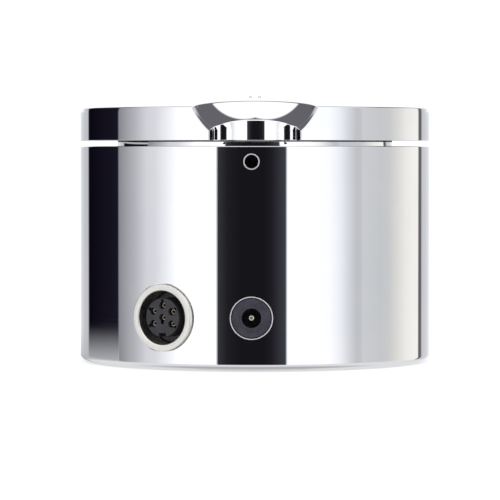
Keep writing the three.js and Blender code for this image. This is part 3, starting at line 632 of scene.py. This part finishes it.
def dial_faces(p):
    """Distance outside each of the dial's outer faces at the points p, and each face's outward direction."""
    flat = p * [1, 1, 0]
    r = np.linalg.norm(flat, axis=1, keepdims=True)
    down = np.tile([0.0, 0.0, -1.0], (len(p), 1))
    from_notch = flat - np.array([NOTCH_CENTRE.x, NOTCH_CENTRE.y, 0])
    notch = np.linalg.norm(from_notch, axis=1, keepdims=True)
    from_dimple = p - np.array(DIMPLE_CENTRE)
    dimple = np.linalg.norm(from_dimple, axis=1, keepdims=True)
    from_dome = p - np.array(DOME_CENTRE)
    dome = np.linalg.norm(from_dome, axis=1, keepdims=True)
    depths = [r - RADIUS, dome - DOME_SPHERE, DIAL_BOTTOM - p[:, 2:3], NOTCH_RADIUS - notch,
              DIMPLE_RADIUS - dimple]
    ways = [flat / np.maximum(r, 1e-9), from_dome / dome, down, -from_notch / np.maximum(notch, 1e-9),
            -from_dimple / np.maximum(dimple, 1e-9)]
    return np.concatenate(depths, axis=1), np.stack(ways, axis=1)


def blended(depths, ways, radius):
    """The largest of several depths with the edges between them rounded, and the direction it grows in."""
    reach = np.maximum(depths + radius, 0)
    size = np.linalg.norm(reach, axis=1, keepdims=True)
    way = (reach[:, :, None] * ways).sum(axis=1) / np.maximum(size, 1e-12)
    deep = size[:, 0] == 0
    way[deep] = ways[deep, depths[deep].argmax(axis=1)]
    return np.where(size > 0, size - radius, depths.max(axis=1, keepdims=True)), way


def rounded(p):
    """Distance from the dial's outer face with its edges rounded, and the outward normal."""
    depths, ways = dial_faces(p)
    shell, shell_way = blended(depths[:, :2], ways[:, :2], EDGE_ROUND)
    carving, carving_way = blended(depths[:, 3:], ways[:, 3:], ARCH_ROUND)
    upper_ways = np.stack([shell_way, carving_way], axis=1)
    upper, upper_way = blended(np.hstack([shell, carving]), upper_ways, EDGE_ROUND)
    distance, normal = blended(np.hstack([upper, depths[:, 2:3]]), np.stack([upper_way, ways[:, 2]], axis=1),
                               UNDER_ROUND)
    return distance, normal / np.linalg.norm(normal, axis=1, keepdims=True)


def dome_height(r):
    return DOME_CENTRE.z + math.sqrt(DOME_SPHERE**2 - r**2)


def dial_blank():
    shoulder = dome_height(RADIUS - EDGE_ROUND)
    outline = [(r * MM, dome_height(r * MM)) for r in (0, 3, 7, 11, 15, 20, 25, 30, 35, 39, 43, 46, 49, 50.6)]
    outline += arc(RADIUS - EDGE_ROUND, shoulder - EDGE_ROUND, EDGE_ROUND, 81, 0, 8)
    outline += [(RADIUS, DIAL_BOTTOM + h * MM) for h in (8.2, 5, 1.2)]
    outline += arc(RADIUS - UNDER_ROUND, DIAL_BOTTOM + UNDER_ROUND, UNDER_ROUND, 0, -90, 6)
    outline += [(RADIUS - 2 * MM, DIAL_BOTTOM), (LIP_RADIUS, DIAL_BOTTOM), (LIP_RADIUS, LIP_TOP),
                (HOLLOW_RADIUS, LIP_TOP), (HOLLOW_RADIUS, HOLLOW_TOP), (HUB_RADIUS, HOLLOW_TOP),
                (HUB_RADIUS, HUB_BOTTOM), (HUB_BORE, HUB_BOTTOM), (HUB_BORE, BORE_END), (0, BORE_END)]
    return to_mesh(lathe(outline, 240), "dial")


def crease_distance(p):
    """How far points on the dial's outer face are from the edges of the notch and the dimple."""
    depths, _ = dial_faces(p)
    carved_away = depths[:, 3:].max(axis=1)
    return -np.maximum(np.minimum(carved_away, depths[:, :3].max(axis=1)), depths[:, 3:].min(axis=1))


def refined(mesh):
    """Splits the longest edges near the notch and the dimple, finer towards their own edges."""
    bm = bmesh.new()
    bm.from_mesh(mesh)
    bmesh.ops.remove_doubles(bm, verts=bm.verts, dist=0.01 * MM)
    bmesh.ops.dissolve_degenerate(bm, edges=bm.edges, dist=0.01 * MM)
    bmesh.ops.triangulate(bm, faces=bm.faces)
    for _ in range(24):
        bm.edges.ensure_lookup_table()
        bm.edges.index_update()
        ends = np.array([[v.co[:] for v in e.verts] for e in bm.edges])
        lengths = np.linalg.norm(ends[:, 0] - ends[:, 1], axis=1)
        sides = np.array([[e.index for e in f.edges] for f in bm.faces])
        longest = np.zeros(len(lengths), dtype=bool)
        longest[sides[np.arange(len(sides)), lengths[sides].argmax(axis=1)]] = True
        places = np.stack([ends[:, 0], ends.mean(axis=1), ends[:, 1]])
        outside = np.stack([dial_faces(p)[0].max(axis=1) for p in places]).max(axis=0)
        nearest = np.stack([crease_distance(p) for p in places]).min(axis=0)
        wanted = np.maximum(FINE_EDGE, 0.5 * (nearest - 0.7 * EDGE_ROUND))
        chosen = np.flatnonzero(longest & (lengths > wanted) & (nearest < 8 * MM) & (outside > -0.5 * MM))
        if not len(chosen):
            break
        bmesh.ops.subdivide_edges(bm, edges=[bm.edges[i] for i in chosen], cuts=1, use_single_edge=True,
                                  use_grid_fill=True)
        bmesh.ops.triangulate(bm, faces=[f for f in bm.faces if len(f.verts) > 3])
    bm.to_mesh(mesh)
    bm.free()


def build_dial():
    notch = disc_mesh(NOTCH_RADIUS, DIAL_BOTTOM - 5 * MM, DOME_TOP + 5 * MM, 192,
                      Matrix.Translation((NOTCH_CENTRE.x, NOTCH_CENTRE.y, 0)))
    bm = bmesh.new()
    bmesh.ops.create_uvsphere(bm, u_segments=160, v_segments=96, radius=DIMPLE_RADIUS,
                              matrix=Matrix.Translation(DIMPLE_CENTRE))
    mesh = carved(dial_blank(), [notch, to_mesh(bm, "dimple")], "dial_top")
    refined(mesh)
    points = np.array([v.co[:] for v in mesh.vertices])
    outer = np.abs(dial_faces(points)[0].max(axis=1)) < 0.2 * MM
    outer |= np.abs(rounded(points)[0][:, 0]) < 0.05 * MM
    for _ in range(8):
        distance, normal = rounded(points[outer])
        points[outer] -= distance * normal
    for vertex, place in zip(mesh.vertices, points):
        vertex.co = place
    mesh.update()
    _, normals = rounded(points)
    soften(mesh)
    corners = [tuple(c.vector) for c in mesh.corner_normals]
    for face in mesh.polygons:
        for corner in face.loop_indices:
            v = mesh.loops[corner].vertex_index
            if outer[v] and Vector(normals[v]).dot(face.normal) > 0.5:
                corners[corner] = tuple(normals[v])
    mesh.normals_split_custom_set(corners)
    return link_mesh("dial_top", mesh, "dial", "polished_dial", "dial_cap")


build_dial()

NECK_TOP = DIAL_BOTTOM - FIT
NECK_BORE = 33.3 * MM
NECK_STEP = 35.2 * MM
# Radii of a black ring in the gap under the dial: painted shade where that gap's shadow falls
SHADE_RING_INSIDE = 39.6 * MM
SHADE_RING_OUTSIDE = 40.85 * MM
turned_piece("neck_skin", [
    (NECK_BORE, NECK_LOW[2]), *arc(NECK_RADIUS - 0.2 * MM, NECK_LOW[2] + 0.2 * MM, 0.2 * MM, -90, 0, 4),
    *arc(NECK_RADIUS - 0.04 * MM, NECK_TOP - 0.04 * MM, 0.04 * MM, 0, 90, 3),
    (NECK_STEP, NECK_TOP), (NECK_STEP, NECK_HIGH[2]), (NECK_BORE, NECK_HIGH[2]),
], "dial", "polished_dial", "dial_neck", segments=240)
# A black ring filling the gap between the neck and the dial: painted shade, a dark sheet where there is only
# the gap's shadow
turned_piece("neck_gap_shade", [
    (SHADE_RING_INSIDE, NECK_TOP + 0.01 * MM), (SHADE_RING_OUTSIDE, NECK_TOP + 0.01 * MM),
    (SHADE_RING_OUTSIDE, DIAL_BOTTOM - 0.01 * MM), (SHADE_RING_INSIDE, DIAL_BOTTOM - 0.01 * MM),
], "dial", "black_rubber", segments=240)


def build_pips():
    from_axis, spacing, radius = 6 * MM, 2.7 * MM, 0.45 * MM
    height = DOME_CENTRE.z + math.sqrt(DOME_SPHERE**2 - from_axis**2)
    for i, side in enumerate((-0.5, 0.5)):
        outline = [(0, height + radius), *arc(0, height, radius, 80, 15, 8),
                   (radius + 0.08 * MM, height - 0.02 * MM),
                   (radius, height - 0.3 * MM), (0, height - 0.3 * MM)]
        turned_piece(f"index_pip_{i + 1}", outline, "dial", "polished_dial", segments=32,
                     matrix=DIAL @ Matrix.Translation((side * spacing, -from_axis, 0)))


build_pips()

# ---- Link socket -----------------------------------------------------------------------------

LINK_MOUTH = 7.65 * MM
LINK_END = 38 * MM
LINK_FLOOR = LINK_FACE - 7 * MM
CORE_FACE = LINK_FACE - 0.5 * MM
CORE_RADIUS = 5.6 * MM
CONTACT_CIRCLE = 3.5 * MM
CONTACT_RADIUS = 0.75 * MM
CONTACT_BORE = 0.42 * MM
CONTACT_FRONT = CORE_FACE - 1.1 * MM
OUTER_CONTACTS = [90, 30, -30, 210, 150]   # degrees round the core; the keyway is at -90


def contact_place(degrees, radius=CONTACT_CIRCLE):
    return radius * math.cos(math.radians(degrees)), radius * math.sin(math.radians(degrees))


def box_mesh(width, length, low, high, matrix):
    bm = bmesh.new()
    bmesh.ops.create_cube(bm, size=1.0)
    size = Matrix.Diagonal((width, length, high - low, 1))
    bm.transform(matrix @ Matrix.Translation((0, 0, (low + high) / 2)) @ size)
    return to_mesh(bm, "box")


def core_cutters():
    cutters = []
    for degrees, radius in [*((a, CONTACT_CIRCLE) for a in OUTER_CONTACTS), (-90, 0)]:
        x, y = contact_place(degrees, radius)
        at = LINK @ Matrix.Translation((x, y, 0))
        cutters.append(disc_mesh(CONTACT_RADIUS + FIT, LINK_END - MM, CORE_FACE + MM, 32, at))
        x, y = contact_place(degrees, radius + 1.2 * MM)
        slot = LINK @ Matrix.Translation((x, y, 0)) @ Matrix.Rotation(math.radians(degrees), 4, "Z")
        cutters.append(box_mesh(1.2 * MM, 0.9 * MM, CORE_FACE - 1.5 * MM, CORE_FACE + MM, slot))
    keyway = LINK @ Matrix.Translation((0, -CORE_RADIUS, 0))
    cutters.append(box_mesh(2.3 * MM, 2.4 * MM, LINK_FLOOR, CORE_FACE + MM, keyway))
    return cutters


def build_link_socket():
    edge = 0.25 * MM
    turned_piece("link_flange", [
        (LINK_MOUTH, LINK_END), (LINK_BARREL, LINK_END), (LINK_BARREL, LINK_SEAT), (LINK_FLANGE, LINK_SEAT),
        *arc(LINK_FLANGE - edge, LINK_FACE - edge, edge, 0, 90, 6),
        *arc(LINK_MOUTH + 0.45 * MM, LINK_FACE - 0.45 * MM, 0.45 * MM, 90, 180, 6),
    ], "housing", "nickel_shell", "link_socket_shell", matrix=LINK, segments=144)
    insert = LINK_MOUTH - FIT
    turned_piece("link_core", [
        (0, LINK_END + MM), (insert, LINK_END + MM), (insert, LINK_FLOOR), (CORE_RADIUS, LINK_FLOOR),
        *arc(CORE_RADIUS - 0.35 * MM, CORE_FACE - 0.35 * MM, 0.35 * MM, 0, 90, 6), (0, CORE_FACE),
    ], "housing", "black_insulator", "link_socket_insert", matrix=LINK, segments=96, cuts=core_cutters())
    places = [*(contact_place(a) for a in OUTER_CONTACTS), (0, 0)]
    for i, (x, y) in enumerate(places):
        tip = 0.12 * MM
        turned_piece(f"link_tube_{i + 1}", [
            (0, LINK_END - 4 * MM), (CONTACT_RADIUS, LINK_END - 4 * MM),
            *arc(CONTACT_RADIUS - tip, CONTACT_FRONT - tip, tip, 0, 90, 3),
            *arc(CONTACT_BORE + tip, CONTACT_FRONT - tip, tip, 90, 180, 3),
            (CONTACT_BORE, CONTACT_FRONT - 4 * MM), (0, CONTACT_FRONT - 4 * MM),
        ], "housing", "gold_contact", f"link_contact_{i + 1}",
            matrix=LINK @ Matrix.Translation((x, y, 0)), segments=32)


build_link_socket()

# ---- Power jack and probe jack -----------------------------------------------------------------

POWER_FACE = RADIUS + 0.2 * MM
POWER_BORE = 2.75 * MM
PIN_RADIUS, PIN_BORE = 0.85 * MM, 0.4 * MM
PROBE_FACE = RADIUS + 0.15 * MM
PROBE_BORE = 1.95 * MM


def build_power_jack():
    crown = 0.16 * MM
    turned_piece("power_bezel", [
        (POWER_BEZEL - 2 * crown, POWER_SEAT), (POWER_BEZEL, POWER_SEAT),
        *arc(POWER_BEZEL - crown, POWER_FACE, crown, 0, 180, 10),
    ], "housing", "polished_trim", "power_jack_bezel", matrix=POWER, segments=128)
    flange, edge, end = POWER_BEZEL - 0.55 * MM, 0.3 * MM, 38 * MM
    turned_piece("power_body", [
        (0, end), (POWER_BARREL, end), (POWER_BARREL, POWER_SEAT), (flange, POWER_SEAT),
        *arc(flange - edge, POWER_FACE - edge, edge, 0, 90, 6),
        *arc(POWER_BORE + edge, POWER_FACE - edge, edge, 90, 180, 6),
        (POWER_BORE, POWER_FACE - 10 * MM), (0, POWER_FACE - 10 * MM),
    ], "housing", "jack_plastic", "power_jack_body", matrix=POWER, segments=96)
    tip = POWER_FACE - 1.2 * MM
    turned_piece("power_pin", [
        (0, POWER_FACE - 9.7 * MM), (PIN_RADIUS, POWER_FACE - 9.7 * MM),
        *arc(PIN_RADIUS - 0.4 * MM, tip - 0.4 * MM, 0.4 * MM, 0, 90, 6), (PIN_BORE, tip),
        (PIN_BORE, tip - 2.8 * MM), (0, tip - 2.8 * MM),
    ], "housing", "nickel_shell", "power_jack_pin", matrix=POWER, segments=48)


def build_probe_jack():
    edge = 0.16 * MM
    turned_piece("probe_bushing", [
        (PROBE_BORE, 46.3 * MM), (PROBE_RING, 46.3 * MM),
        *arc(PROBE_RING - edge, PROBE_FACE - edge, edge, 0, 90, 5),
        *arc(PROBE_BORE + edge, PROBE_FACE - edge, edge, 90, 180, 5),
    ], "housing", "polished_trim", "probe_jack_bushing", matrix=PROBE, segments=96)


build_power_jack()
build_probe_jack()

# ---- Return spring ---------------------------------------------------------------------------


def build_return_spring():
    """The coil, copied into a mesh of its own and fixed to the housing."""
    coil = frame["nodes"]["return_spring"]
    mesh = coil.data.copy()
    mesh.name = "spring_coil"
    mesh.transform(coil.matrix_world)
    mesh.materials.clear()
    piece = link_mesh("spring_coil", mesh, "housing", "steel", "return_spring")
    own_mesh(piece)


build_return_spring()
